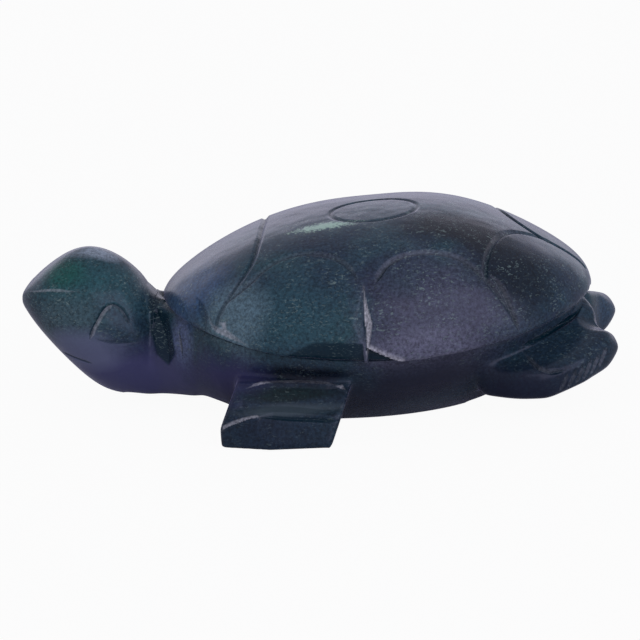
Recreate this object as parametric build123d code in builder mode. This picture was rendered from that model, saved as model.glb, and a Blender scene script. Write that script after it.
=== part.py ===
"""Carved stone turtle, about four inches long.

+X runs from the head to the tail, +Z is up, and the turtle rests on its flat belly at z = 0.
Its own left side is at -Y. The pieces are the forms that the carver's creases separate:
the shell, the body, the neck, the head and the four flippers.
"""
import os
from math import sqrt

from build123d import *

os.makedirs("parts", exist_ok=True)

# Carapace: a dome on a rim that dips along the sides
shell_length = 73.6
shell_width = 55.0
shell_tail_inset = 4.2
crown_height = 32.7
rim_height = 13.4
rim_radius = 142.0
rim_low_offset = 3.6
rim_trim = 0.8
shoulder_share = 0.75
dome_station_shares = (-0.97, -0.88, -0.66, -0.34, 0.0, 0.34, 0.66, 0.88, 0.97)
dome_crown_shares = (0.178, 0.395, 0.711, 0.935, 1.0, 0.981, 0.756, 0.466, 0.26)

# Carved lines of the shell: a ring on the crown, a little to the left, and seven scutes around it, the lines
# of one side given in plan as shares of half the shell's length and width
groove_width = 1.3
groove_depth = 0.9
ring_length = 14.6
ring_width = 13.4
ring_offset = 1.5
front_scute_shares = ((-0.52, 0.0), (-0.52, 0.22), (-0.555, 0.52), (-0.635, 0.64), (-0.76, 0.72))
shoulder_scute_shares = ((-0.66, 0.66), (-0.49, 0.61), (-0.32, 0.57), (-0.14, 0.67), (-0.045, 0.83))
side_cut_shares = ((-0.02, 0.80), (-0.035, 1.02))
hip_scute_shares = ((0.03, 0.83), (0.19, 0.665), (0.35, 0.635), (0.50, 0.685), (0.67, 0.78))
rear_scute_shares = ((0.53, 0.69), (0.545, 0.50), (0.59, 0.31), (0.65, 0.16), (0.80, 0.0))
rear_seam_shares = ((0.77, 0.0), (0.95, 0.0))

# Body: a hull that narrows to a flat belly and is set in under the rim
hull_top_height = 20.0
hull_height_shares = (0.0, 0.12, 0.27, 0.5, 0.75, 1.0)
hull_centre_shares = (-0.107, -0.112, -0.117, -0.082, -0.022, -0.002)
hull_length_shares = (0.64, 0.75, 0.86, 0.93, 0.962, 0.967)
hull_width_shares = (0.555, 0.655, 0.755, 0.87, 0.93, 0.945)

# Head: from the nose back to the neck crease
head_length = 22.5
head_width = 20.0
head_height = 28.0
head_station_shares = (0.0, 0.035, 0.133, 0.267, 0.444, 0.644, 0.822, 1.0)
head_top_shares = (0.72, 0.752, 0.829, 0.914, 0.99, 0.982, 0.89, 0.65)
brow_width_shares = (0.12, 0.26, 0.50, 0.70, 0.83, 0.86, 0.80, 0.52)
brow_height_shares = (0.705, 0.721, 0.757, 0.779, 0.786, 0.761, 0.700, 0.585)
cheek_width_shares = (0.13, 0.28, 0.56, 0.78, 0.94, 1.0, 0.96, 0.76)
cheek_height_shares = (0.68, 0.664, 0.629, 0.543, 0.479, 0.450, 0.436, 0.421)
keel_width_shares = (0.06, 0.12, 0.20, 0.26, 0.32, 0.40, 0.50, 0.56)
keel_height_shares = (0.655, 0.621, 0.511, 0.38, 0.22, 0.114, 0.092, 0.088)

# Neck: flares from the crease to its seat on the body, under the front edge of the shell
neck_length = 7.5
neck_inset = 5.8
neck_seat_top_share = 0.85
neck_seat_keel_share = 0.1
neck_seat_keel_width_share = 0.36

# Front flippers: chord and place as shares of the shell's length, plan as shares of the chord and the reach
front_chord_share = 0.3125
front_inset_share = 0.144
front_reach = 30.4
front_root_height = 10.0
front_root_reach = 23.5
front_edge_height = 5.3
front_edge_reach = 29.0
front_lead_height = 2.0
front_bevel_length = 3.6
front_trail_undercut = 4.0
front_round = 1.2
front_plan_shares = ((0.12, 0.45), (0.12, 0.72), (0.0, 0.91), (0.38, 0.99), (1.0, 1.0), (1.0, 0.45))

# Rear flippers: chord as a share of the shell's length, plan as shares of the chord and the reach
rear_chord_share = 0.34
rear_reach = 21.3
rear_root_height = 16.4
rear_outer_height = 8.6
rear_tip_top_height = 9.3
rear_tip_under_height = 6.4
rear_tip_undercut = 2.2
rear_under_height = 3.8
rear_round = 1.6
rear_heel_share = 0.52
rear_shoulder_share = 0.81
rear_plan_shares = (
    (0.0, 0.45),
    (0.06, 0.86),
    (0.28, 0.985),
    (0.50, 1.0),
    (0.76, 0.835),
    (1.0, 0.53),
    (0.985, 0.44),
    (0.87, 0.29),
    (0.80, 0.08),
    (0.55, 0.08),
)

scute_line_shares = (
    front_scute_shares,
    shoulder_scute_shares,
    side_cut_shares,
    hip_scute_shares,
    rear_scute_shares,
    rear_seam_shares,
)

overall_length = head_length + neck_length - neck_inset + shell_length + shell_tail_inset
tail_x = overall_length / 2
nose_x = -overall_length / 2
shell_rear_x = tail_x - shell_tail_inset
shell_mid_x = shell_rear_x - shell_length / 2
shell_front_x = shell_rear_x - shell_length
front_chord = front_chord_share * shell_length
front_lead_x = shell_front_x + front_inset_share * shell_length
front_trail_x = front_lead_x + front_chord
rear_chord = rear_chord_share * shell_length
rear_root_x = tail_x - rear_chord
rear_heel_x = rear_root_x + rear_heel_share * rear_chord
rear_shoulder_x = rear_root_x + rear_shoulder_share * rear_chord
rim_low_x = shell_mid_x + rim_low_offset
neck_seat_x = shell_front_x + neck_inset


def shell_x(station_share):
    """Place along the shell, from -1 at its front edge to 1 at its rear edge."""
    return shell_mid_x + station_share * shell_length / 2


def rim_z(x):
    """Height of the rim, an arc that is lowest near the middle of the shell."""
    return rim_height + rim_radius - sqrt(rim_radius**2 - (x - rim_low_x) ** 2)


def dome(inset):
    """The shell's dome before its rim is cut, drawn inset below the finished skin."""
    with BuildPart() as shell:
        sections = []
        for station_share, crown_share in zip(dome_station_shares, dome_crown_shares):
            x = shell_x(station_share)
            base = rim_z(x) - rim_trim
            top = base + crown_share * (crown_height - base) - inset
            half_width = shell_width / 2 * sqrt(1 - station_share**2) - inset
            shoulder_y = shoulder_share * half_width
            shoulder_z = base + shoulder_share * (top - base)
            with BuildSketch(Plane.YZ.offset(x)) as section:
                with BuildLine():
                    Spline((0, top), (shoulder_y, shoulder_z), (half_width, base), tangents=((1, 0), (0, -1)))
                    Line((half_width, base), (0, base))
                    mirror(about=Plane.YZ)
                make_face()
            sections.append(section.sketch)
        front_point = Vertex(shell_front_x + inset, 0, rim_z(shell_front_x) - rim_trim)
        rear_point = Vertex(shell_rear_x - inset, 0, rim_z(shell_rear_x) - rim_trim)
        loft([front_point, *sections, rear_point])
    return shell.part


def stone_section(x, crown, brow, cheek, keel):
    """Cross-section of the head or neck: gabled roof, cheek and a throat that narrows to a keel."""
    with BuildSketch(Plane.YZ.offset(x)) as section:
        with BuildLine():
            Spline(crown, brow, cheek, keel)
            Line(keel, (0, keel[1]))
            mirror(about=Plane.YZ)
        make_face()
    return section.sketch


def head_section(row):
    """Cross-section of the head at one row of its shares."""
    half_width = head_width / 2
    return stone_section(
        nose_x + head_station_shares[row] * head_length,
        (0, head_top_shares[row] * head_height),
        (brow_width_shares[row] * half_width, brow_height_shares[row] * head_height),
        (cheek_width_shares[row] * half_width, cheek_height_shares[row] * head_height),
        (keel_width_shares[row] * half_width, keel_height_shares[row] * head_height),
    )


def flipper_plan(plan_shares, front_x, chord, reach):
    """Points of a left flipper's outline in plan."""
    return [(front_x + x_share * chord, -y_share * reach) for x_share, y_share in plan_shares]


def hull_half_width(row, x):
    """Half the width of the hull at one of its levels, at a place along its length."""
    half_length = hull_length_shares[row] * shell_length / 2
    offset_share = (x - shell_x(hull_centre_shares[row])) / half_length
    return hull_width_shares[row] * shell_width / 2 * sqrt(1 - offset_share**2)


# Everything above the rim line, which seats the shell on the body
with BuildPart() as above_rim:
    with BuildSketch(Plane.XZ):
        with Locations((rim_low_x, rim_height + rim_radius)):
            Circle(rim_radius)
    extrude(amount=shell_width, both=True)

# Carapace
outer_dome = dome(0)

inner_dome = dome(groove_depth)

with BuildPart() as scute_grooves:
    with BuildSketch(Plane.XY.offset(rim_height)):
        for line_shares in scute_line_shares:
            with BuildLine():
                Spline([(shell_x(x_share), -y_share * shell_width / 2) for x_share, y_share in line_shares])
            trace(line_width=groove_width)
        mirror(about=Plane.XZ)
    with BuildSketch(Plane.XY.offset(rim_height)):
        with Locations((shell_mid_x, -ring_offset)):
            Ellipse((ring_length + groove_width) / 2, (ring_width + groove_width) / 2)
            Ellipse((ring_length - groove_width) / 2, (ring_width - groove_width) / 2, mode=Mode.SUBTRACT)
    extrude(amount=crown_height)
    add(outer_dome, mode=Mode.INTERSECT)
    add(inner_dome, mode=Mode.SUBTRACT)

with BuildPart() as carapace:
    add(outer_dome)
    add(scute_grooves.part, mode=Mode.SUBTRACT)
    add(above_rim.part, mode=Mode.INTERSECT)
carapace.part.label = "carapace"
export_step(carapace.part, "parts/carapace.step")

# Body
with BuildPart() as body:
    for height_share, centre_share, length_share, width_share in zip(
        hull_height_shares, hull_centre_shares, hull_length_shares, hull_width_shares
    ):
        with BuildSketch(Plane.XY.offset(height_share * hull_top_height)):
            with Locations((shell_x(centre_share), 0)):
                Ellipse(length_share * shell_length / 2, width_share * shell_width / 2)
    loft()
    split(bisect_by=Plane.YZ.offset(neck_seat_x), keep=Keep.TOP)
    add(above_rim.part, mode=Mode.SUBTRACT)
body.part.label = "body"
export_step(body.part, "parts/body.step")

# Head
with BuildPart() as head:
    loft([head_section(row) for row in range(len(head_station_shares))])
head.part.label = "head"
export_step(head.part, "parts/head.step")

# Neck
neck_seat = stone_section(
    neck_seat_x,
    (0, neck_seat_top_share * hull_top_height),
    (hull_half_width(4, neck_seat_x), hull_height_shares[4] * hull_top_height),
    (hull_half_width(3, neck_seat_x), hull_height_shares[3] * hull_top_height),
    (neck_seat_keel_width_share * hull_half_width(4, neck_seat_x), neck_seat_keel_share * hull_top_height),
)
with BuildPart() as neck:
    loft([head_section(-1), neck_seat])
    add(above_rim.part, mode=Mode.SUBTRACT)
neck.part.label = "neck"
export_step(neck.part, "parts/neck.step")

# Front flippers: the plan, cut to the slope of the top, a bevelled leading edge and an undercut trailing edge
with BuildPart() as front_left_flipper:
    with BuildSketch(Plane.XY) as front_plan:
        with BuildLine():
            Polyline(flipper_plan(front_plan_shares, front_lead_x, front_chord, front_reach), close=True)
        make_face()
        fillet(front_plan.vertices(), radius=front_round)
    extrude(amount=front_root_height)
    with BuildSketch(Plane.YZ) as front_slope:
        with BuildLine():
            Polyline(
                (0, 0),
                (-front_reach, 0),
                (-front_edge_reach, front_edge_height),
                (-front_root_reach, front_root_height),
                (0, front_root_height),
                close=True,
            )
        make_face()
        fillet(front_slope.vertices().sort_by(Axis.X)[1], radius=front_round)
    extrude(amount=front_chord, both=True, mode=Mode.INTERSECT)
    with BuildSketch(Plane.XZ):
        with BuildLine():
            Polyline(
                (front_lead_x, 0),
                (front_lead_x, front_lead_height),
                (front_lead_x + front_bevel_length, front_root_height),
                (front_trail_x, front_root_height),
                (front_trail_x - front_trail_undercut, 0),
                close=True,
            )
        make_face()
    extrude(amount=front_reach, mode=Mode.INTERSECT)
    add(body.part, mode=Mode.SUBTRACT)
front_left_flipper.part.label = "front_left_flipper"
export_step(front_left_flipper.part, "parts/front_left_flipper.step")

with BuildPart() as front_right_flipper:
    mirror(front_left_flipper.part, about=Plane.XZ)
front_right_flipper.part.label = "front_right_flipper"
export_step(front_right_flipper.part, "parts/front_right_flipper.step")

# Rear flippers: the plan, cut to a lifted underside and to a top that slopes out and back
with BuildPart() as rear_left_flipper:
    with BuildSketch(Plane.XY) as rear_plan:
        with BuildLine():
            Polyline(flipper_plan(rear_plan_shares, rear_root_x, rear_chord, rear_reach), close=True)
        make_face()
        fillet(rear_plan.vertices().filter_by_position(Axis.X, rear_heel_x, tail_x), radius=rear_round)
    extrude(amount=rear_root_height)
    with BuildSketch(Plane.XZ):
        with BuildLine():
            Polyline(
                (rear_root_x, rear_under_height),
                (rear_heel_x, rear_under_height),
                (tail_x - rear_tip_undercut, rear_tip_under_height),
                (tail_x, rear_tip_top_height),
                (rear_shoulder_x, rear_root_height),
                (rear_root_x, rear_root_height),
                close=True,
            )
        make_face()
    extrude(amount=rear_reach, mode=Mode.INTERSECT)
    with BuildSketch(Plane.YZ):
        with BuildLine():
            Polyline(
                (0, 0),
                (-rear_reach, 0),
                (-rear_reach, rear_outer_height),
                (0, rear_root_height),
                close=True,
            )
        make_face()
    extrude(amount=tail_x, mode=Mode.INTERSECT)
    add(body.part, mode=Mode.SUBTRACT)
    add(above_rim.part, mode=Mode.SUBTRACT)
rear_left_flipper.part.label = "rear_left_flipper"
export_step(rear_left_flipper.part, "parts/rear_left_flipper.step")

with BuildPart() as rear_right_flipper:
    mirror(rear_left_flipper.part, about=Plane.XZ)
rear_right_flipper.part.label = "rear_right_flipper"
export_step(rear_right_flipper.part, "parts/rear_right_flipper.step")
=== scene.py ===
"""Carved stone turtle: the polished, wheel-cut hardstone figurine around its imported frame."""
import math
from collections import namedtuple

import bpy
import numpy as np
from mathutils import Matrix, Vector
from mathutils.bvhtree import BVHTree
from mathutils.kdtree import KDTree


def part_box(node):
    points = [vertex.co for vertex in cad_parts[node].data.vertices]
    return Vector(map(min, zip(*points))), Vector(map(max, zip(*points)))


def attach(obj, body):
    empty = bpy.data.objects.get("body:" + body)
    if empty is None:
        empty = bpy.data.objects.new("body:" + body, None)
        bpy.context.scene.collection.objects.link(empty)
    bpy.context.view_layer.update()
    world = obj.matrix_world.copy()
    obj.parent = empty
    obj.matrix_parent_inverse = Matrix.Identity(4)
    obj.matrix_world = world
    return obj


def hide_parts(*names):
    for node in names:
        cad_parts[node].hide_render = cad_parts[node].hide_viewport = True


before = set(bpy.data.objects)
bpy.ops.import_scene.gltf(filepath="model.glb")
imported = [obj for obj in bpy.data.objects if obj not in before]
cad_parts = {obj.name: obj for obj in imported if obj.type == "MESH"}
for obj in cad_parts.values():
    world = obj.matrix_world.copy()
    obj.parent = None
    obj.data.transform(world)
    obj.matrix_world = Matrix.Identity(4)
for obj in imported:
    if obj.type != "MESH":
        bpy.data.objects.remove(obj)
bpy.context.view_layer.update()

MM = 0.001
LEFT, RIGHT = -1, 1
SIDES = (LEFT, RIGHT)
ABOVE = 1
ACROSS, UP = 1, 2

# Mesh of the stone
WELD = 0.002 * MM
SHELL_VOXEL = 0.41 * MM
FORM_VOXEL = 0.3 * MM
RELAX_FACTOR = 0.5
SHELL_RELAX = 10
FORM_RELAX = 14
FLIPPER_RELAX = 60
FLIPPER_RELAX_START = -2.0 * MM
FLIPPER_SWELL = 0.3 * MM
RIDGE_RELAX = 30
RIDGE_SHARE = 0.78
THROAT_RELAX = 80
THROAT_START_SHARE = 0.75
THROAT_END_SHARE = 0.6
THROAT_HEIGHT = 9.0 * MM
BORDER_PASSES = 12
MOST_SIDES = 4

# How carved lines are laid on the stone and cut
DROP_REACH = 0.2
LINE_STEP = 0.1 * MM
REFINE_REACH = 1.5 * MM
CARVE_BLOCK = 4000
LEAST_FADE = 0.25
PALE_EDGE = 3.0
DARK_EDGE = 4.0

# A wheel cut: its depth, below zero where an edge is raised; its widths to the left and right as
# the line runs, with the crown on the left; how pale its left bevel is, partly ground stone and
# partly a painted highlight; how dark the painted shade in its bottom is and how wide that is; the
# share of its length that fades at each end
Cut = namedtuple("Cut", "depth left_width right_width paleness darkness bottom_width taper")

# Carved lines of the shell in plan, as shares of half its length and half its width
FRONT_SCUTE_SHARES = (
    (-0.52, -0.02),
    (-0.52, 0.22),
    (-0.543, 0.495),
    (-0.633, 0.636),
    (-0.73, 0.70),
)
SHOULDER_SCUTE_SHARES = (
    (-0.70, 0.675),
    (-0.56, 0.655),
    (-0.49, 0.611),
    (-0.40, 0.571),
    (-0.32, 0.571),
    (-0.23, 0.60),
    (-0.14, 0.669),
    (-0.08, 0.745),
    (-0.04, 0.82),
)
HIP_SCUTE_SHARES = (
    (0.03, 0.83),
    (0.10, 0.72),
    (0.19, 0.665),
    (0.29, 0.64),
    (0.40, 0.64),
    (0.486, 0.68),
    (0.573, 0.727),
    (0.66, 0.755),
    (0.68, 0.758),
)
REAR_SCUTE_SHARES = (
    (0.53, 0.69),
    (0.533, 0.604),
    (0.557, 0.462),
    (0.592, 0.309),
    (0.649, 0.16),
    (0.726, 0.055),
    (0.80, 0.0),
)
REAR_SEAM_SHARES = ((0.77, 0.0), (0.86, 0.0), (0.97, 0.0))
RING_CENTRE_SHARES = (0.01, -0.055)
RING_HALF_LENGTH = 7.4 * MM
RING_HALF_WIDTH = 6.3 * MM
RING_STEPS = 400
FRONT_SCUTE_CUT = Cut(0.5 * MM, 0.9 * MM, 0.5 * MM, 0.06, 0.6, 0.35 * MM, 0.0)
SHOULDER_SCUTE_CUT = Cut(0.45 * MM, 0.9 * MM, 0.45 * MM, 0.06, 0.6, 0.3 * MM, 0.1)
HIP_SCUTE_CUT = Cut(0.75 * MM, 0.9 * MM, 0.4 * MM, 0.07, 1.0, 0.35 * MM, 0.05)
REAR_SCUTE_CUT = Cut(0.6 * MM, 1.0 * MM, 0.4 * MM, 0.05, 0.9, 0.35 * MM, 0.0)
SEAM_CUT = Cut(0.5 * MM, 0.7 * MM, 0.7 * MM, 0.0, 0.8, 0.35 * MM, 0.0)
RING_CUT = Cut(0.25 * MM, 0.55 * MM, 0.55 * MM, 0.06, 0.6, 0.35 * MM, 0.0)
SHELL_PLAN_CARVING = (
    (FRONT_SCUTE_SHARES, FRONT_SCUTE_CUT),
    (SHOULDER_SCUTE_SHARES, SHOULDER_SCUTE_CUT),
    (HIP_SCUTE_SHARES, HIP_SCUTE_CUT),
    (REAR_SCUTE_SHARES, REAR_SCUTE_CUT),
)

# Carved lines on the shell's sides, along its half length and up its height
SIDE_CUT_SHARES = ((-0.023, 0.64), (-0.021, 0.50), (-0.018, 0.37), (-0.015, 0.21), (-0.02, 0.04))
HIP_END_SHARES = (
    (0.53, 0.62),
    (0.575, 0.53),
    (0.608, 0.42),
    (0.638, 0.27),
    (0.66, 0.14),
    (0.672, 0.05),
)
COLLAR_SHARES = ((-0.80, 0.46), (-0.783, 0.40), (-0.764, 0.30), (-0.765, 0.16), (-0.78, 0.05))
CHIP_SHARES = (
    (
        (-0.745, 0.35),
        (-0.735, 0.27),
        (-0.715, 0.218),
        (-0.66, 0.182),
        (-0.60, 0.155),
        (-0.549, 0.128),
    ),
    ((-0.70, 0.31), (-0.68, 0.26), (-0.65, 0.225)),
)
# The side cut's pale wall is mostly a painted highlight
SIDE_CUT = Cut(1.2 * MM, 1.2 * MM, 1.7 * MM, 1.8, 0.9, 0.5 * MM, 0.5)
HIP_END_CUT = Cut(0.8 * MM, 0.8 * MM, 0.4 * MM, 0.11, 1.0, 0.4 * MM, 0.25)
COLLAR_CUT = Cut(0.5 * MM, 1.0 * MM, 1.5 * MM, 0.0, 0.4, 0.9 * MM, 0.4)
# The chips' pale is partly chipped stone and partly a painted highlight
CHIP_CUT = Cut(0.35 * MM, 1.6 * MM, 0.4 * MM, 0.55, 0.0, 0.35 * MM, 0.5)
SHELL_SIDE_CARVING = (
    (SIDE_CUT_SHARES, SIDE_CUT),
    (HIP_END_SHARES, HIP_END_CUT),
    (COLLAR_SHARES, COLLAR_CUT),
    *((shares, CHIP_CUT) for shares in CHIP_SHARES),
)

# Worn rim of the shell, along its half length and up its height: a facet under each shoulder scute
# with painted shade on it, and a lip with a painted highlight over an undercut with painted shade
# at each hip scute
RIM_SIDE_SHARE = 0.75
FACET_SHARES = ((-0.38, 0.08), (-0.312, 0.144), (-0.257, 0.195), (-0.154, 0.20), (-0.03, 0.185))
FACET_HEIGHT_SHARE = 0.20
FACET_DEPTH = 1.0 * MM
FACET_PAINTED_SHADE = 0.9
LIP_SHARES = ((-0.0125, 0.14), (0.009, 0.115), (0.053, 0.07), (0.096, 0.03), (0.148, -0.01))
LIP_UNDERCUT = 1.6 * MM
LIP_EDGE = 0.25 * MM
LIP_WIDTH = 1.1 * MM
RIM_SHADE_REACH = 0.5 * MM

# Carved lines of the head, as shares of its length and height
EYE_SHARES = (
    (0.765, 0.682),
    (0.729, 0.69),
    (0.676, 0.666),
    (0.627, 0.608),
    (0.569, 0.523),
    (0.55, 0.462),
)
EYE_BACK_SHARES = ((0.867, 0.538), (0.827, 0.624), (0.778, 0.674), (0.729, 0.69), (0.69, 0.677))
EYE_BASE_SHARES = ((0.575, 0.50), (0.60, 0.478), (0.667, 0.456), (0.778, 0.441), (0.924, 0.429))
BROW_SHARES = ((0.05, 0.72), (0.084, 0.741), (0.258, 0.772), (0.40, 0.778), (0.529, 0.78))
MOUTH_SHARES = ((0.30, 0.355), (0.418, 0.324), (0.56, 0.288))
NECK_CREASE_SHARES = ((0.99, 0.70), (1.015, 0.64), (1.085, 0.50), (1.115, 0.37), (1.13, 0.26))
# The eye's pale edge is a painted highlight
EYE_CUT = Cut(0.45 * MM, 0.7 * MM, 0.5 * MM, 0.28, 0.8, 0.3 * MM, 0.15)
EYE_BACK_CUT = Cut(0.35 * MM, 0.7 * MM, 0.5 * MM, 0.08, 0.7, 0.3 * MM, 0.25)
EYE_BASE_CUT = Cut(0.18 * MM, 0.5 * MM, 0.9 * MM, 0.0, 0.5, 0.35 * MM, 0.4)
# The raised brow carries a painted highlight
BROW_RAISE = Cut(-0.2 * MM, 0.6 * MM, 0.5 * MM, 0.3, 0.0, 0.35 * MM, 0.4)
MOUTH_CUT = Cut(0.22 * MM, 0.4 * MM, 0.4 * MM, 0.09, 0.7, 0.3 * MM, 0.2)
# A wide band of painted shade in the crease between head and neck
NECK_CREASE_CUT = Cut(0.9 * MM, 2.6 * MM, 1.8 * MM, 0.0, 0.9, 2.6 * MM, 0.25)

# Carved lines of the neck: a line beside it, by length and height, and the filled top of the
# crease, painted with shade, by length and half width
NECK_LINE_SHARES = ((0.78, 0.52), (0.74, 0.72), (0.70, 0.86))
NECK_TOP_SHARES = ((0.10, -0.55), (0.05, -0.27), (0.03, 0.0), (0.05, 0.27), (0.10, 0.55))
NECK_LINE_CUT = Cut(0.35 * MM, 0.4 * MM, 0.5 * MM, 0.15, 0.8, 0.3 * MM, 0.4)
NECK_TOP_FILL = Cut(-1.0 * MM, 2.6 * MM, 2.6 * MM, 0.0, 0.9, 1.9 * MM, 0.35)

# Carved lines of the rear flippers, as shares of their length and height: a step, the gap under the
# rim and six claws; a notch scooped from the left one, by length and by width from the inner side
STEP_SHARES = (
    (0.33, 0.60),
    (0.356, 0.551),
    (0.418, 0.467),
    (0.476, 0.417),
    (0.53, 0.384),
    (0.633, 0.376),
)
GAP_SHARES = (
    (0.30, 0.66),
    (0.385, 0.693),
    (0.493, 0.743),
    (0.596, 0.80),
    (0.703, 0.868),
    (0.761, 0.95),
)
CLAW_SHARES = (
    ((0.640, 0.36), (0.575, 0.06)),
    ((0.700, 0.39), (0.630, 0.09)),
    ((0.755, 0.43), (0.683, 0.12)),
    ((0.808, 0.47), (0.735, 0.16)),
    ((0.862, 0.51), (0.790, 0.20)),
    ((0.915, 0.57), (0.848, 0.27)),
)
STEP_CUT = Cut(0.6 * MM, 0.7 * MM, 0.4 * MM, 0.08, 0.8, 0.3 * MM, 0.2)
GAP_CUT = Cut(0.9 * MM, 0.6 * MM, 0.6 * MM, 0.0, 1.0, 0.45 * MM, 0.2)
CLAW_CUT = Cut(0.45 * MM, 0.5 * MM, 0.4 * MM, 0.08, 0.5, 0.25 * MM, 0.2)
NOTCH_SHARES = (0.865, 0.31)
NOTCH_RADIUS = 4.0 * MM
NOTCH_DEPTH = 1.4 * MM

# Carved lines of the front flippers, as shares of their length and height: the raised stretch of
# the outer edge with a painted highlight and the grooved stretch with painted shade, a scoop, the
# root, and two slightly raised strokes on the root with painted highlights
EDGE_SHARES = ((0.018, 0.30), (0.06, 0.38), (0.134, 0.46), (0.22, 0.52), (0.326, 0.55))
GROOVE_SHARES = ((0.28, 0.55), (0.40, 0.545), (0.536, 0.51), (0.754, 0.47), (0.90, 0.43))
SCOOP_SHARES = ((0.10, 0.66), (0.31, 0.70), (0.53, 0.69), (0.754, 0.64), (0.93, 0.62))
ROOT_SHARES = ((0.205, 0.97), (0.42, 0.96), (0.607, 0.95), (0.83, 0.91), (0.95, 0.87))
ROOT_HIGHLIGHT_SHARES = (
    ((0.20, 0.91), (0.30, 0.95), (0.44, 0.965)),
    ((0.86, 0.90), (0.95, 0.84)),
)
EDGE_RAISE = Cut(-0.3 * MM, 0.6 * MM, 0.6 * MM, 0.4, 0.0, 0.35 * MM, 0.1)
GROOVE_CUT = Cut(0.5 * MM, 0.9 * MM, 0.5 * MM, 0.0, 0.9, 0.45 * MM, 0.2)
SCOOP_CUT = Cut(0.5 * MM, 1.8 * MM, 1.5 * MM, 0.0, 0.0, 0.35 * MM, 0.1)
ROOT_RAISE = Cut(-0.35 * MM, 0.8 * MM, 0.8 * MM, 0.12, 0.0, 0.35 * MM, 0.2)
ROOT_HIGHLIGHT = Cut(-0.1 * MM, 0.9 * MM, 0.6 * MM, 0.45, 0.0, 0.35 * MM, 0.5)

# Lines that are carved on both sides of the lower forms, measured on the form named
FORM_CARVING = (
    ("head", EYE_SHARES, EYE_CUT),
    ("head", EYE_BACK_SHARES, EYE_BACK_CUT),
    ("head", EYE_BASE_SHARES, EYE_BASE_CUT),
    ("head", BROW_SHARES, BROW_RAISE),
    ("head", MOUTH_SHARES, MOUTH_CUT),
    ("head", NECK_CREASE_SHARES, NECK_CREASE_CUT),
    ("neck", NECK_LINE_SHARES, NECK_LINE_CUT),
    ("rear_left_flipper", STEP_SHARES, STEP_CUT),
    ("rear_left_flipper", GAP_SHARES, GAP_CUT),
    ("front_left_flipper", EDGE_SHARES, EDGE_RAISE),
    ("front_left_flipper", GROOVE_SHARES, GROOVE_CUT),
    ("front_left_flipper", SCOOP_SHARES, SCOOP_CUT),
    ("front_left_flipper", ROOT_SHARES, ROOT_RAISE),
    *(("rear_left_flipper", shares, CLAW_CUT) for shares in CLAW_SHARES),
    *(("front_left_flipper", shares, ROOT_HIGHLIGHT) for shares in ROOT_HIGHLIGHT_SHARES),
)

# Noises in the stone: scale, detail, roughness and distortion
NOISE_SOCKETS = ("Scale", "Detail", "Roughness", "Distortion")
CLOUD_NOISE = (75.0, 5.0, 0.55, 0.6)
PATCH_NOISE = (90.0, 5.0, 0.6, 0.3)
GRAIN_NOISE = (1900.0, 4.0, 0.7, 0.0)
FLECK_NOISE = (2400.0, 2.0, 0.6, 0.8)
SPOT_NOISE = (950.0, 3.0, 0.6, 1.5)
DRIFT_NOISE = (170.0, 2.0, 0.55, 0.0)
WAVE_NOISE = (130.0, 2.0, 0.55, 0.0)

# Colours of the stone, and where each noise shows
CLOUD_STOPS = (
    (0.30, (0.015, 0.024, 0.048, 1.0)),
    (0.45, (0.018, 0.037, 0.062, 1.0)),
    (0.58, (0.022, 0.053, 0.076, 1.0)),
    (0.74, (0.026, 0.072, 0.088, 1.0)),
)
PATCH_STOPS = ((0.55, (0.0, 0.0, 0.0, 1.0)), (0.75, (0.4, 0.4, 0.4, 1.0)))
PATCH_GREEN = (0.010, 0.070, 0.062, 1.0)
LOW_NAVY = (0.010, 0.020, 0.036, 1.0)
LOW_NAVY_SHARE = 0.8
LOW_FLECK_SHARE = 0.35
LOW_START, LOW_END = 9.0 * MM, 17.0 * MM
GRAIN_STOPS = ((0.36, (0.60, 0.60, 0.60, 1.0)), (0.64, (1.5, 1.5, 1.5, 1.0)))
FLECK_STRETCH = (0.6, 0.8, 1.5)
FLECK_STOPS = ((0.59, (0.0, 0.0, 0.0, 1.0)), (0.66, (1.0, 1.0, 1.0, 1.0)))
SPOT_STOPS = ((0.66, (0.0, 0.0, 0.0, 1.0)), (0.71, (1.0, 1.0, 1.0, 1.0)))
FLECK_PICK_STOPS = ((0.40, (0.12, 0.12, 0.12, 1.0)), (0.64, (0.75, 0.75, 0.75, 1.0)))
FLECK_PALE = (0.17, 0.24, 0.235, 1.0)
# Colour of the painted shade in the cuts, the creases, the undercuts and under the rim
PAINTED_SHADE_COLOUR = (0.001, 0.016, 0.028, 1.0)
# Pale of the ground bevels, raised to near white so that it also paints their highlights
GROUND_AND_HIGHLIGHT_PALE = (0.72, 0.72, 0.80, 1.0)
SCRATCH_STOPS = ((0.38, (0.35, 0.35, 0.35, 1.0)), (0.62, (1.0, 1.0, 1.0, 1.0)))
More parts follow.
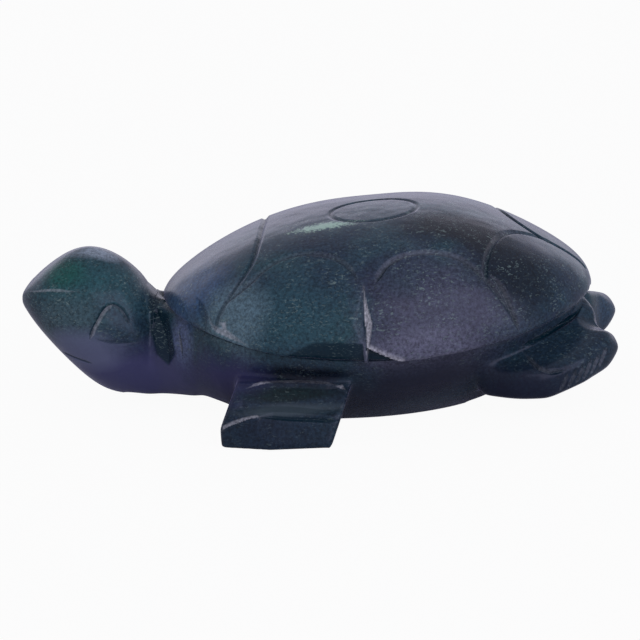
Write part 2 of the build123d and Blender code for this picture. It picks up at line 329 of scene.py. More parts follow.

# Larger clouds in the stone, some of them painted highlights, reflections and shade as noted:
# middle and half sizes in millimetres, colour and strength; the smooth ones hide the grain
GRAINED_CLOUDS_AND_PAINTED_LIGHT = (
    ((-40.0, -5.0, 22.0), (12.0, 8.0, 7.0), (0.024, 0.100, 0.108, 1.0), 0.65),
    ((-43.0, -5.0, 25.0), (6.0, 5.0, 3.5), (0.006, 0.085, 0.06, 1.0), 0.6),
    ((-42.0, -8.0, 17.5), (9.0, 5.0, 6.0), (0.05, 0.088, 0.105, 1.0), 0.75),
    # A painted highlight on the crown of the head
    ((-36.0, -1.5, 27.5), (8.5, 3.0, 2.6), (0.24, 0.29, 0.36, 1.0), 0.9),
    ((-22.5, -11.5, 14.0), (3.0, 6.0, 7.0), (0.082, 0.108, 0.200, 1.0), 0.85),
    ((-19.0, -11.0, 23.0), (8.0, 10.0, 8.0), (0.036, 0.084, 0.175, 1.0), 0.75),
    ((-5.0, -22.0, 20.0), (14.0, 9.0, 9.0), (0.024, 0.074, 0.096, 1.0), 0.65),
    # Partly pale blue stone, partly a painted highlight on the front of the shell
    ((-13.6, -20.5, 20.5), (8.0, 7.0, 9.5), (0.110, 0.180, 0.225, 1.0), 0.75),
    # These two: partly lavender stone, partly a painted reflection on the near flank of the shell
    ((22.0, -25.0, 19.0), (19.0, 16.0, 16.0), (0.054, 0.056, 0.092, 1.0), 0.85),
    ((20.0, -27.5, 15.0), (14.0, 6.0, 5.0), (0.11, 0.113, 0.17, 1.0), 0.75),
    # These two: partly darker stone, partly painted shade on the rear scute and on the top of the
    # shell
    ((34.0, -15.0, 24.0), (11.0, 9.0, 9.0), (0.004, 0.01, 0.018, 1.0), 0.9),
    ((25.0, -9.0, 31.0), (12.0, 8.0, 5.0), (0.005, 0.008, 0.013, 1.0), 0.9),
    ((-4.0, -25.5, 8.2), (12.0, 2.6, 1.5), (0.004, 0.015, 0.015, 1.0), 0.9),
    # Painted shade on the body under the shell's rim, above the front flipper
    ((-1.0, -23.5, 11.0), (11.0, 4.5, 2.0), (0.001, 0.004, 0.010, 1.0), 0.95),
    ((49.0, 7.0, 11.0), (4.0, 5.0, 4.0), (0.03, 0.06, 0.1, 1.0), 0.8),
)
SMOOTH_CLOUDS_AND_PAINTED_LIGHT = (
    # Partly lavender stone, partly a painted reflection under the head and throat
    ((-33.0, -6.0, 6.0), (24.0, 14.0, 9.0), (0.060, 0.062, 0.155, 1.0), 0.9),
    ((-17.0, -19.0, 8.0), (13.0, 9.0, 8.0), (0.032, 0.031, 0.106, 1.0), 0.9),
    # Partly pale lavender stone, partly a painted reflection on the jaw
    ((-40.0, -9.0, 12.0), (9.0, 4.0, 5.0), (0.125, 0.142, 0.235, 1.0), 0.75),
    # Partly dark navy stone, partly painted shade on the hull under the shell's near side
    ((22.0, -22.0, 5.0), (30.0, 7.0, 10.0), (0.006, 0.008, 0.023, 1.0), 0.85),
    ((-3.0, -27.8, 6.2), (11.0, 2.2, 1.3), (0.062, 0.088, 0.105, 1.0), 0.75),
)
VEIN = ((2.2, -7.7, 31.8), (6.4, 1.8, 2.2), (0.40, 0.60, 0.50, 1.0), 1.0)
CLOUD_OUTER_EDGE, CLOUD_INNER_EDGE = 1.0, 0.45
CLOUD_WOBBLE = 0.9
VEIN_WOBBLE = 2.6

# Finish of the stone
POLISH_ROUGHNESS = 0.25
CARVED_ROUGHNESS = 0.55
WAVE_STRENGTH = 1.0
WAVE_HEIGHT = 0.3 * MM
GRAIN_HEIGHT_SHARE = 0.02
STONE_FINISH = {
    "IOR": 1.54,
    "Specular IOR Level": 0.26,
    "Specular Tint": (0.80, 0.80, 1.0, 1.0),
    "Sheen Weight": 0.3,
    "Sheen Roughness": 0.3,
    "Sheen Tint": (0.62, 0.60, 1.0, 1.0),
}
NODE_SPACING = 220
NODE_COLUMNS = 10

# Stage and light
FLOOR_SIZE = 6.0
PAPER_FINISH = {
    "Base Color": (0.7, 0.7, 0.7, 1.0),
    "Roughness": 0.9,
    "Specular IOR Level": 0.0,
}
PAPER_WHITE = (1.0, 1.0, 1.0, 1.0)
PAPER_GLOW_SHARE = 0.95
SKY_COLOUR = (0.93, 0.92, 1.0, 1.0)
SKY_STRENGTH = 0.46
LAMP_COLOUR = (0.87, 0.85, 1.0)
LAMPS = (
    ("front_softbox", (0.45, -0.65, 0.40), (1.0, 0.80), 3.2),
    ("back_softbox", (0.0, 0.90, 0.17), (1.80, 0.34), 1.25),
    ("side_softbox", (-0.75, 0.55, 0.36), (0.60, 0.45), 0.5),
)

# Camera at the photograph's angle
CAMERA_TARGET = (0.0, 0.0, 13.0 * MM)
CAMERA_DISTANCE = 600.0 * MM
CAMERA_ELEVATION = math.radians(17.0)
CAMERA_AZIMUTH = math.radians(4.5)
CAMERA_ROLL = math.radians(3.8)
CAMERA_SENSOR = 36.0
CAMERA_LENS = 196.4


def pick(piece):
    """Selects one piece alone and makes it active."""
    bpy.ops.object.select_all(action="DESELECT")
    piece.select_set(True)
    bpy.context.view_layer.objects.active = piece


def edit_whole(piece):
    """Goes into edit mode with the whole piece selected."""
    pick(piece)
    bpy.ops.object.mode_set(mode="EDIT")
    bpy.ops.mesh.select_all(action="SELECT")


def leave_edit():
    """Goes back to object mode."""
    bpy.ops.object.mode_set(mode="OBJECT")


def select_faces(piece, mask):
    """Goes into edit mode with the masked faces selected."""
    pick(piece)
    bpy.ops.object.mode_set(mode="EDIT")
    bpy.ops.mesh.select_mode(type="FACE")
    bpy.ops.mesh.select_all(action="DESELECT")
    leave_edit()
    piece.data.polygons.foreach_set("select", mask)
    bpy.ops.object.mode_set(mode="EDIT")


def read_numbers(items, name):
    """One whole number of every item of a mesh."""
    numbers = np.empty(len(items), int)
    items.foreach_get(name, numbers)
    return numbers


def read_vectors(items, name):
    """One vector of every item of a mesh."""
    vectors = np.empty(len(items) * 3)
    items.foreach_get(name, vectors)
    return vectors.reshape(-1, 3)


def face_centres(piece):
    """The middle of every face."""
    return read_vectors(piece.data.polygons, "center")


def read_points(piece):
    """The mesh's vertices and their normals."""
    mesh = piece.data
    return read_vectors(mesh.vertices, "co"), read_vectors(mesh.vertex_normals, "vector")


def write_points(piece, points):
    """Puts the moved vertices back."""
    piece.data.vertices.foreach_set("co", points.ravel())
    piece.data.update()


def surface_of(piece):
    """A tree of the mesh that lines are dropped on."""
    return BVHTree.FromObject(piece, bpy.context.evaluated_depsgraph_get())


def stone_copy(node):
    """A welded copy of a CAD node's mesh."""
    piece = bpy.data.objects.new(f"{node}_stone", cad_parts[node].data.copy())
    bpy.context.collection.objects.link(piece)
    edit_whole(piece)
    bpy.ops.mesh.remove_doubles(threshold=WELD)
    leave_edit()
    return piece


def remesh_stone(piece, voxel):
    """Turns a rough form into an even mesh fine enough to carve."""
    pick(piece)
    grid = piece.modifiers.new("grid", "REMESH")
    grid.mode = "VOXEL"
    grid.voxel_size = voxel
    bpy.ops.object.modifier_apply(modifier=grid.name)


def relax_stone(piece, repeat, mask=None):
    """Polishes the mesh, or its masked faces."""
    select_faces(piece, np.ones(len(piece.data.polygons), bool) if mask is None else mask)
    bpy.ops.mesh.vertices_smooth(factor=RELAX_FACTOR, repeat=repeat)
    leave_edit()


def refine_near(piece, lines):
    """Halves the faces beside the carved lines, so that the cuts come out sharp."""
    places = np.vstack([line for line, cut in lines])
    tree = KDTree(len(places))
    for place in places:
        tree.insert(place, 0)
    tree.balance()
    select_faces(piece, [tree.find(centre)[2] < REFINE_REACH for centre in face_centres(piece)])
    bpy.ops.mesh.subdivide(number_cuts=1)
    leave_edit()


def curve_through(knots):
    """A smooth Catmull-Rom line through given knots, sampled finely."""
    knots = np.array(knots, float)
    ends = np.vstack([2 * knots[0] - knots[1], knots, 2 * knots[-1] - knots[-2]])
    line = []
    for before, start, stop, after in zip(ends, ends[1:], ends[2:], ends[3:]):
        count = max(2, int(np.linalg.norm(stop - start) / LINE_STEP))
        slope = stop - before
        bend = 2 * before - 5 * start + 4 * stop - after
        twist = 3 * start - before - 3 * stop + after
        for t in np.arange(count) / count:
            line.append(0.5 * (2 * start + slope * t + bend * t**2 + twist * t**3))
    line.append(knots[-1])
    return np.array(line)


def drop_on(surface, line, axis, side):
    """Drops a line on the stone along an axis, from the side given by its sign."""
    heading = Vector((0.0, 0.0, 0.0))
    heading[axis] = -side
    landed = []
    for point in line:
        start = Vector(point)
        start[axis] = side * DROP_REACH
        place = surface.ray_cast(start, heading)[0]
        if place is not None:
            landed.append(place)
    return np.array(landed)


def crown_on_left(line, side):
    """Runs a line back on the left side and forward on the right, so the crown is on its left."""
    return line if side == LEFT else line[::-1]


def carve(points, normals, lines):
    """Depth, pale ground and painted highlight, and painted shade of the carved lines at each
    vertex.
    """
    depths, pale, dark = np.zeros((3, len(points)))
    for line, cut in lines:
        reach = max(cut.left_width, cut.right_width, cut.bottom_width)
        near = (points > line.min(0) - reach) & (points < line.max(0) + reach)
        ids = np.flatnonzero(np.all(near, axis=1))
        tangents = np.gradient(line, axis=0)
        fades = np.ones(len(line))
        if cut.taper:
            run = np.linspace(0, 1, len(line))
            fades = np.clip(np.minimum(run, 1 - run) / cut.taper, 0, 1)
        for block in np.array_split(ids, max(1, len(ids) // CARVE_BLOCK)):
            offset = points[block][:, None, :] - line[None, :, :]
            nearest = np.argmin((offset**2).sum(2), axis=1)
            apart = offset[np.arange(len(block)), nearest]
            distance = np.linalg.norm(apart, axis=1)
            fade = fades[nearest]
            leftward = (apart * np.cross(normals[block], tangents[nearest])).sum(1) > 0
            width = np.where(leftward, cut.left_width, cut.right_width)
            share = np.clip(1 - distance / (width * np.maximum(fade, LEAST_FADE)), 0, 1)
            depth = cut.depth * fade * share
            deeper = np.abs(depth) > np.abs(depths[block])
            depths[block] = np.where(deeper, depth, depths[block])
            ground_with_highlight = cut.paleness * fade * leftward * np.clip(PALE_EDGE * share, 0, 1)
            pale[block] = np.maximum(pale[block], ground_with_highlight)
            shade = np.clip(DARK_EDGE * (fade - distance / cut.bottom_width), 0, 1)
            dark[block] = np.maximum(dark[block], cut.darkness * shade)
    return depths, pale, dark


def shell_plan(shares):
    """Points above the shell, given along its half length and its half width."""
    low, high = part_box("carapace")
    half_length = (high[0] - low[0]) / 2
    half_width = (high[1] - low[1]) / 2
    middle = (high[0] + low[0]) / 2
    return [(middle + x * half_length, y * half_width, 0.0) for x, y in shares]


def shell_side(shares):
    """Points beside the shell, given along its half length and up its height."""
    low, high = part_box("carapace")
    half_length = (high[0] - low[0]) / 2
    middle = (low[0] + high[0]) / 2
    height = high[2] - low[2]
    return [(middle + x * half_length, 0.0, low[2] + z * height) for x, z in shares]


def shell_ring():
    """Points of the ring above the crown."""
    centre = shell_plan([RING_CENTRE_SHARES])[0]
    ring = []
    for turn in np.linspace(0, 2 * math.pi, RING_STEPS):
        x = centre[0] + RING_HALF_LENGTH * math.cos(turn)
        y = centre[1] + RING_HALF_WIDTH * math.sin(turn)
        ring.append((x, y, 0.0))
    return ring


def shell_lines(surface):
    """All carved lines of the shell with their cuts."""
    lines = []
    for side in SIDES:
        for shares, cut in SHELL_PLAN_CARVING:
            plan = curve_through(shell_plan([(x, side * y) for x, y in shares]))
            lines.append((crown_on_left(drop_on(surface, plan, UP, ABOVE), side), cut))
        for shares, cut in SHELL_SIDE_CARVING:
            stroke = curve_through(shell_side(shares))
            lines.append((crown_on_left(drop_on(surface, stroke, ACROSS, side), side), cut))
    seam = curve_through(shell_plan(REAR_SEAM_SHARES))
    lines.append((drop_on(surface, seam, UP, ABOVE), SEAM_CUT))
    lines.append((drop_on(surface, shell_ring(), UP, ABOVE), RING_CUT))
    return lines


def under_line(points, shares):
    """How far each vertex lies under a line along the rim, and which ones are beside it."""
    line = np.array(shell_side(shares))
    along = (points[:, 0] > line[0, 0]) & (points[:, 0] < line[-1, 0])
    outside = np.abs(points[:, 1]) > RIM_SIDE_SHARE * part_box("carapace")[1][1]
    return np.interp(points[:, 0], line[:, 0], line[:, 2]) - points[:, 2], along & outside


def wear_rim_with_painted_light(points, pale, dark):
    """Depth of the rim's facets and undercuts, cut in from the sides; adds their painted shade and
    the lips' painted highlight.
    """
    low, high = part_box("carapace")
    under, beside_line = under_line(points, FACET_SHARES)
    facet_height = FACET_HEIGHT_SHARE * (high[2] - low[2])
    worn = FACET_DEPTH * (np.clip(under / facet_height, 0, 1) * beside_line)
    # Painted shade on each facet
    dark += FACET_PAINTED_SHADE * np.clip(under / LIP_EDGE, 0, 1) * beside_line
    under, beside_line = under_line(points, LIP_SHARES)
    undercut = np.clip(under / LIP_EDGE, 0, 1) * beside_line
    # Painted shade under each lip
    dark += undercut
    # Painted highlight on each lip
    pale += np.clip(1 + under / LIP_WIDTH, 0, 1) * (under < 0) * beside_line
    return np.maximum(worn, LIP_UNDERCUT * undercut)


def make_shell():
    """The domed shell: its hull is filled, polished and carved again with sharp wheel cuts."""
    shell = stone_copy("carapace")
    edit_whole(shell)
    bpy.ops.mesh.convex_hull()
    leave_edit()
    remesh_stone(shell, SHELL_VOXEL)
    relax_stone(shell, SHELL_RELAX)
    lines = shell_lines(surface_of(shell))
    refine_near(shell, lines)
    points, normals = read_points(shell)
    depths, pale, dark = carve(points, normals, lines)
    worn = wear_rim_with_painted_light(points, pale, dark)
    points -= normals * depths[:, None]
    points[:, 1] -= np.sign(points[:, 1]) * worn
    write_points(shell, points)
    keep_values(shell, pale, dark)
    finish_piece(shell, "carapace")
    return shell


def form_side(node, shares):
    """Points beside a lower form, given as shares of its length and height."""
    low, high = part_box(node)
    length, height = high[0] - low[0], high[2] - low[2]
    return [(low[0] + x * length, 0.0, low[2] + z * height) for x, z in shares]


def form_lines(surface):
    """Carved lines of the head, the neck and the flippers with their cuts."""
    lines = []
    for side in SIDES:
        for node, shares, cut in FORM_CARVING:
            stroke = curve_through(form_side(node, shares))
            lines.append((crown_on_left(drop_on(surface, stroke, ACROSS, side), side), cut))
    low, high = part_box("neck")
    top = [(low[0] + x * (high[0] - low[0]), y * high[1], 0.0) for x, y in NECK_TOP_SHARES]
    lines.append((drop_on(surface, curve_through(top), UP, ABOVE), NECK_TOP_FILL))
    return lines


def round_head(stone):
    """Rounds the ridge of the head, and the throat where it runs into the neck."""
    centres = face_centres(stone)
    head_low, head_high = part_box("head")
    neck_low, neck_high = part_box("neck")
    ridge_height = head_low[2] + RIDGE_SHARE * (head_high[2] - head_low[2])
    ridge = (centres[:, 0] < head_high[0]) & (centres[:, 2] > ridge_height)
    throat_start = head_low[0] + THROAT_START_SHARE * (head_high[0] - head_low[0])
    throat_end = neck_high[0] + THROAT_END_SHARE * (neck_high[0] - neck_low[0])
    throat = (centres[:, 0] > throat_start) & (centres[:, 0] < throat_end)
    relax_stone(stone, RIDGE_RELAX, ridge)
    relax_stone(stone, THROAT_RELAX, throat & (centres[:, 2] < THROAT_HEIGHT))


def round_forms(stone):
    """Rounds the rear flippers into the hull, then the head, and scoops the left one's notch."""
    low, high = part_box("rear_left_flipper")
    rear_start = low[0] + FLIPPER_RELAX_START
    relax_stone(stone, FLIPPER_RELAX, face_centres(stone)[:, 0] > rear_start)
    round_head(stone)
    points, normals = read_points(stone)
    rearward = (points[:, 0] - rear_start) / (high[0] - rear_start)
    swelling = FLIPPER_SWELL * np.clip(rearward, 0, 1)
    length_share, width_share = NOTCH_SHARES
    inner = high[1] + width_share * (low[1] - high[1])
    above_notch = (low[0] + length_share * (high[0] - low[0]), inner, 0.0)
    notch = drop_on(surface_of(stone), [above_notch], UP, ABOVE)[0]
    distance = np.linalg.norm(points - notch, axis=1)
    swelling -= NOTCH_DEPTH * np.clip(1 - (distance / NOTCH_RADIUS) ** 2, 0, 1) ** 2
    write_points(stone, points + normals * swelling[:, None])


def painted_shade_under_rim(points, shell):
    """Painted shade where the lower forms meet the rim of the shell."""
    rim = surface_of(shell)
    gaps = [rim.find_nearest(point, RIM_SHADE_REACH)[3] for point in points]
    return np.array([0.0 if gap is None else 1 - gap / RIM_SHADE_REACH for gap in gaps])


def node_of_faces(stone, nodes):
    """The node of every face of the joined stone: by planes at the neck, or else the nearest."""
    neck_front, neck_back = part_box("head")[1][0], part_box("neck")[1][0]
    head, neck = nodes.index("head"), nodes.index("neck")
    others = [index for index in range(len(nodes)) if index not in (head, neck)]
    trees = [surface_of(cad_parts[nodes[index]]) for index in others]
    owners = []
    for face in stone.data.polygons:
        if face.center[0] < neck_front:
            owners.append(head)
        elif face.center[0] < neck_back:
            owners.append(neck)
        else:
            gaps = [tree.find_nearest(face.center)[3] for tree in trees]
            owners.append(others[int(np.argmin(gaps))])
    return plain_borders(stone, np.array(owners))


def plain_borders(stone, owners):
    """Hands faces over where a form's border meets itself, so every border is a plain loop."""
    mesh = stone.data
    corner_points = read_numbers(mesh.loops, "vertex_index")
    sides = read_numbers(mesh.polygons, "loop_total")
    corner_faces = np.repeat(np.arange(len(sides)), sides)
    edge_order = np.argsort(read_numbers(mesh.loops, "edge_index"), kind="stable")
    edge_faces = corner_faces[edge_order].reshape(-1, 2)
    edge_points = np.empty(len(mesh.edges) * 2, int)
    mesh.edges.foreach_get("vertices", edge_points)
    edge_points = edge_points.reshape(-1, 2)
    for _ in range(BORDER_PASSES):
        pinched = np.zeros(len(mesh.vertices), bool)
        for owner in np.unique(owners):
            own = owners[edge_faces] == owner
            border = edge_points[own[:, 0] != own[:, 1]]
            pinched |= np.bincount(border.ravel(), minlength=len(pinched)) > 2
        lowest = np.full(len(pinched), owners.max())
        np.minimum.at(lowest, corner_points, owners[corner_faces])
        touched = pinched[corner_points]
        np.minimum.at(owners, corner_faces[touched], lowest[corner_points[touched]])
    return owners


def keep_faces(form, mask):
    """Keeps the masked faces of a form and closes what is left open with fans of faces."""
    select_faces(form, ~mask)
    bpy.ops.mesh.delete(type="FACE")
    bpy.ops.mesh.select_all(action="SELECT")
    bpy.ops.mesh.fill_holes(sides=0)
    bpy.ops.mesh.select_mode(type="EDGE")
    bpy.ops.mesh.select_non_manifold(
        extend=False,
        use_wire=False,
        use_multi_face=False,
        use_non_contiguous=False,
        use_verts=False,
    )
    if form.data.total_edge_sel:
        bpy.ops.mesh.edge_face_add()
    bpy.ops.mesh.select_mode(type="FACE")
    bpy.ops.mesh.select_face_by_sides(number=MOST_SIDES, type="GREATER", extend=False)
    bpy.ops.mesh.poke()
    leave_edit()


def part_stone(stone, nodes):
    """Cuts the joined stone back into its named forms, which keep the normals that it has."""
    stone.name = "joined_stone"
    owners = node_of_faces(stone, nodes)
    for index, node in enumerate(nodes):
        form = stone.copy()
        form.data = stone.data.copy()
        form.name = f"{node}_stone"
        bpy.context.collection.objects.link(form)
        keep_faces(form, owners == index)
        finish_piece(form, node)
        polish = read_vectors(form.data.attributes["polish"].data, "vector")
        form.data.normals_split_custom_set_from_vertices(polish.tolist())
    bpy.data.objects.remove(stone)


def make_lower_forms(shell):
    """Body, neck, head and flippers, joined while polished so that creases run through."""
    nodes = [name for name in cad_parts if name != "carapace"]
    copies = [stone_copy(node) for node in nodes]
    pick(copies[0])
    for copy in copies:
        copy.select_set(True)
    bpy.ops.object.join()
    stone = bpy.context.view_layer.objects.active
    remesh_stone(stone, FORM_VOXEL)
    relax_stone(stone, FORM_RELAX)
    round_forms(stone)
    lines = form_lines(surface_of(stone))
    refine_near(stone, lines)
    points, normals = read_points(stone)
    depths, pale, dark = carve(points, normals, lines)
    points -= normals * depths[:, None]
    write_points(stone, points)
    keep_values(stone, pale, np.maximum(dark, painted_shade_under_rim(points, shell)))
    part_stone(stone, nodes)


def keep_values(stone, pale, dark):
    """Keeps the pale ground with its painted highlights, the painted shade, and the polished
    normals, on the mesh.
    """
    attributes = stone.data.attributes
    for name, values in (("pale", pale), ("dark", dark)):
        spots = attributes.new(name, "FLOAT", "POINT")
        spots.data.foreach_set("value", np.clip(values, 0, 1))
    normals = read_points(stone)[1]
    attributes.new("polish", "FLOAT_VECTOR", "POINT").data.foreach_set("vector", normals.ravel())


def finish_piece(piece, node):
    """Shades a piece smooth, gives it the stone, hangs it on the root body and hides its CAD node.
    """
    pick(piece)
    bpy.ops.object.shade_smooth()
    piece.data.materials.clear()
    piece.data.materials.append(polished_stone)
    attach(piece, "root")
    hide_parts(node)


def add_node(tree, kind, **settings):
    """Adds a shader node at the next place of a grid."""
    row, column = divmod(len(tree.nodes), NODE_COLUMNS)
    node = tree.nodes.new(kind)
    node.location = (column * NODE_SPACING, -row * NODE_SPACING)
    for name, value in settings.items():
        setattr(node, name, value)
    return node


def feed(tree, socket, value):
    """Links an output to a socket, or sets a plain value there."""
    if isinstance(value, bpy.types.NodeSocket):
        tree.links.new(value, socket)
    else:
        socket.default_value = value


def add_ramp(tree, value, stops):
    """A colour ramp with the given stops."""
    ramp = add_node(tree, "ShaderNodeValToRGB")
    elements = ramp.color_ramp.elements
    elements[0].position, elements[0].color = stops[0]
    elements[1].position, elements[1].color = stops[-1]
    for position, colour in stops[1:-1]:
        elements.new(position).color = colour
    feed(tree, ramp.inputs["Fac"], value)
    return ramp.outputs["Color"]


def add_noise(tree, where, settings):
    """A noise in the stone."""
    noise = add_node(tree, "ShaderNodeTexNoise")
    for name, value in zip(NOISE_SOCKETS, settings):
        noise.inputs[name].default_value = value
    feed(tree, noise.inputs["Vector"], where)
    return noise.outputs["Fac"]


def add_math(tree, operation, *values):
    """A sum on plain values and outputs."""
    node = add_node(tree, "ShaderNodeMath", operation=operation)
    for socket, value in zip(node.inputs, values):
        feed(tree, socket, value)
    return node.outputs["Value"]


def add_range(tree, value, from_range, to_range):
    """A value carried from one range to another and held at its ends."""
    node = add_node(tree, "ShaderNodeMapRange")
    feed(tree, node.inputs["Value"], value)
    node.inputs["From Min"].default_value, node.inputs["From Max"].default_value = from_range
    node.inputs["To Min"].default_value, node.inputs["To Max"].default_value = to_range
    return node.outputs["Result"]


def add_mix(tree, factor, first, second, blend="MIX"):
    """A mix of two colours."""
    mix = add_node(tree, "ShaderNodeMix", data_type="RGBA", blend_type=blend)
    for name, value in (("Factor", factor), ("A", first), ("B", second)):
        feed(tree, mix.inputs[name], value)
    return mix.outputs["Result"]


def add_mapping(tree, where, scale, location=(0.0, 0.0, 0.0)):
    """A place in the stone, scaled and moved."""
    mapping = add_node(tree, "ShaderNodeMapping")
    mapping.inputs["Location"].default_value = location
    mapping.inputs["Scale"].default_value = scale
    feed(tree, mapping.inputs["Vector"], where)
    return mapping.outputs["Vector"]


def add_cloud(group, where, wobble, colour, cloud, wobble_share=CLOUD_WOBBLE):
    """Mixes one soft-edged cloud, of stone colour or of painted light, into the stone's colour, and
    gives its mask too.
    """
    centre, half_sizes, cloud_colour, strength = cloud
    scale = [1 / (half * MM) for half in half_sizes]
    location = [-middle / half for middle, half in zip(centre, half_sizes)]
    away = add_node(group, "ShaderNodeVectorMath", operation="LENGTH")
    feed(group, away.inputs[0], add_mapping(group, where, scale, location))
    ragged = add_math(group, "MULTIPLY_ADD", wobble, wobble_share, away.outputs["Value"])
    edges = [edge + wobble_share / 2 for edge in (CLOUD_OUTER_EDGE, CLOUD_INNER_EDGE)]
    mask = add_range(group, ragged, edges, (0.0, strength))
    return add_mix(group, mask, colour, cloud_colour), mask


def add_ground_colour(group, where, patches, height):
    """Green and navy stone, darker low down."""
    tint = add_ramp(group, add_noise(group, where, CLOUD_NOISE), CLOUD_STOPS)
    green = add_mix(group, add_ramp(group, patches, PATCH_STOPS), tint, PATCH_GREEN)
    lowness = add_range(group, height, (LOW_START, LOW_END), (LOW_NAVY_SHARE, 0.0))
    return add_mix(group, lowness, green, LOW_NAVY)


def add_all_clouds(group, where, patches, grain, colour):
    """Adds clouds, some painted light among them, grain and vein, and gives the share that the
    smooth clouds leave bare.
    """
    for cloud in GRAINED_CLOUDS_AND_PAINTED_LIGHT:
        colour = add_cloud(group, where, patches, colour, cloud)[0]
    colour = add_mix(group, 1.0, colour, add_ramp(group, grain, GRAIN_STOPS), "MULTIPLY")
    colour = add_cloud(group, where, grain, colour, VEIN, VEIN_WOBBLE)[0]
    bare = 1.0
    for cloud in SMOOTH_CLOUDS_AND_PAINTED_LIGHT:
        colour, mask = add_cloud(group, where, patches, colour, cloud)
        bare = add_math(group, "MULTIPLY", add_math(group, "SUBTRACT", 1.0, mask), bare)
    return colour, bare


def add_flecks(group, where, height, bare):
    """Mask of the pale flecks: two sizes, in drifts, fewer low down and none on smooth clouds."""
    stretched = add_mapping(group, where, FLECK_STRETCH)
    flecks = add_ramp(group, add_noise(group, stretched, FLECK_NOISE), FLECK_STOPS)
    spots = add_ramp(group, add_noise(group, stretched, SPOT_NOISE), SPOT_STOPS)
    drifts = add_ramp(group, add_noise(group, where, DRIFT_NOISE), FLECK_PICK_STOPS)
    both = add_math(group, "MULTIPLY", add_math(group, "MAXIMUM", flecks, spots), drifts)
    share = add_range(group, height, (LOW_START, LOW_END), (LOW_FLECK_SHARE, 1.0))
    return add_math(group, "MULTIPLY", both, add_math(group, "MULTIPLY", share, bare))


def make_stone_group():
    """Cloudy green and navy stone with pale flecks, painted shade and painted highlights: its
    colour, roughness and height.
    """
    group = bpy.data.node_groups.new("cloudy_stone", "ShaderNodeTree")
    for name in ("Color", "Roughness", "Height"):
        kind = "NodeSocketColor" if name == "Color" else "NodeSocketFloat"
        group.interface.new_socket(name=name, in_out="OUTPUT", socket_type=kind)
    where = add_node(group, "ShaderNodeTexCoord").outputs["Object"]
    split = add_node(group, "ShaderNodeSeparateXYZ")
    feed(group, split.inputs["Vector"], where)
    height = split.outputs["Z"]
    pale = add_node(group, "ShaderNodeAttribute", attribute_name="pale").outputs["Fac"]
    dark = add_node(group, "ShaderNodeAttribute", attribute_name="dark").outputs["Fac"]
    patches = add_noise(group, where, PATCH_NOISE)
    grain = add_noise(group, where, GRAIN_NOISE)
    colour = add_ground_colour(group, where, patches, height)
    colour, bare = add_all_clouds(group, where, patches, grain, colour)
    # Painted shade in the cuts, the creases, the undercuts and under the rim
    colour = add_mix(group, dark, colour, PAINTED_SHADE_COLOUR)
    colour = add_mix(group, add_flecks(group, where, height, bare), colour, FLECK_PALE)
    # Pale ground of the cuts, partly a painted highlight, broken up by the grain
    ground_with_highlight = add_math(group, "MULTIPLY", pale, add_ramp(group, grain, SCRATCH_STOPS))
    colour = add_mix(group, ground_with_highlight, colour, GROUND_AND_HIGHLIGHT_PALE)
    roughness = add_range(group, pale, (0.0, 1.0), (POLISH_ROUGHNESS, CARVED_ROUGHNESS))
    waves = add_noise(group, where, WAVE_NOISE)
    relief = add_math(group, "MULTIPLY_ADD", grain, GRAIN_HEIGHT_SHARE, waves)
    output = add_node(group, "NodeGroupOutput")
    for name, value in (("Color", colour), ("Roughness", roughness), ("Height", relief)):
        feed(group, output.inputs[name], value)
    return group


def make_polished_stone():
    """The one stone that every form is carved from."""
    material = bpy.data.materials.new("polished_stone")
    material.use_nodes = True
    tree = material.node_tree
    shader = tree.nodes["Principled BSDF"]
    stone = add_node(tree, "ShaderNodeGroup", node_tree=make_stone_group())
    bump = add_node(tree, "ShaderNodeBump")
    bump.inputs["Strength"].default_value = WAVE_STRENGTH
    bump.inputs["Distance"].default_value = WAVE_HEIGHT
    feed(tree, bump.inputs["Height"], stone.outputs["Height"])
    feed(tree, shader.inputs["Base Color"], stone.outputs["Color"])
    feed(tree, shader.inputs["Roughness"], stone.outputs["Roughness"])
    feed(tree, shader.inputs["Normal"], bump.outputs["Normal"])
    for name, value in STONE_FINISH.items():
        shader.inputs[name].default_value = value
    return material


def make_floor_paper():
    """Pale matt paper for the floor, nearly white to the camera."""
    material = bpy.data.materials.new("floor_paper")
    material.use_nodes = True
    tree = material.node_tree
    shader = tree.nodes["Principled BSDF"]
    for name, value in PAPER_FINISH.items():
        shader.inputs[name].default_value = value
    glow = add_node(tree, "ShaderNodeEmission")
    glow.inputs["Color"].default_value = PAPER_WHITE
    seen = add_node(tree, "ShaderNodeLightPath").outputs["Is Camera Ray"]
    mix = add_node(tree, "ShaderNodeMixShader")
    feed(tree, mix.inputs["Fac"], add_math(tree, "MULTIPLY", seen, PAPER_GLOW_SHARE))
    feed(tree, mix.inputs[1], shader.outputs["BSDF"])
    feed(tree, mix.inputs[2], glow.outputs["Emission"])
    feed(tree, tree.nodes["Material Output"].inputs["Surface"], mix.outputs["Shader"])
    return material


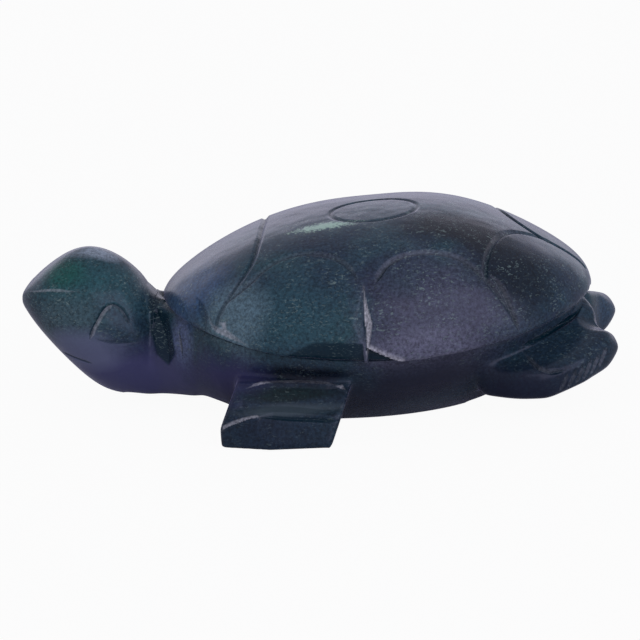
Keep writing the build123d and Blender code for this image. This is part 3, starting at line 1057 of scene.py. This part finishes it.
def make_stage():
    """The pale floor."""
    bpy.ops.object.select_all(action="DESELECT")
    bpy.ops.mesh.primitive_plane_add(size=FLOOR_SIZE)
    floor = bpy.context.object
    floor.name = "floor"
    floor.data.materials.append(make_floor_paper())


def make_lamp(name, place, size, power):
    """A soft lamp that faces the turtle."""
    data = bpy.data.lights.new(name, "AREA")
    data.shape = "RECTANGLE"
    data.size, data.size_y = size
    data.energy = power
    data.color = LAMP_COLOUR
    lamp = bpy.data.objects.new(name, data)
    bpy.context.collection.objects.link(lamp)
    lamp.location = place
    facing = Vector(place) - Vector(CAMERA_TARGET)
    lamp.rotation_euler = facing.to_track_quat("Z", "Y").to_euler()


def make_light():
    """Plain soft studio light."""
    world = bpy.data.worlds.new("studio")
    bpy.context.scene.world = world
    world.use_nodes = True
    sky = world.node_tree.nodes["Background"]
    sky.inputs["Color"].default_value = SKY_COLOUR
    sky.inputs["Strength"].default_value = SKY_STRENGTH
    for name, place, size, power in LAMPS:
        make_lamp(name, place, size, power)
    bpy.context.scene.view_settings.view_transform = "Standard"


def make_camera():
    """The camera, at the photograph's angle."""
    sin_a, cos_a = math.sin(CAMERA_AZIMUTH), math.cos(CAMERA_AZIMUTH)
    sin_e, cos_e = math.sin(CAMERA_ELEVATION), math.cos(CAMERA_ELEVATION)
    back = Vector((sin_a * cos_e, -cos_a * cos_e, sin_e))
    right = Vector((cos_a, sin_a, 0.0))
    up = back.cross(right)
    across = right * math.cos(CAMERA_ROLL) - up * math.sin(CAMERA_ROLL)
    upward = right * math.sin(CAMERA_ROLL) + up * math.cos(CAMERA_ROLL)
    data = bpy.data.cameras.new("camera")
    data.sensor_width = CAMERA_SENSOR
    data.lens = CAMERA_LENS
    camera = bpy.data.objects.new("camera", data)
    bpy.context.collection.objects.link(camera)
    turn = Matrix((across, upward, back)).transposed().to_4x4()
    place = Vector(CAMERA_TARGET) + back * CAMERA_DISTANCE
    camera.matrix_world = Matrix.Translation(place) @ turn
    bpy.context.scene.camera = camera


make_camera()
polished_stone = make_polished_stone()
make_lower_forms(make_shell())
make_stage()
make_light()
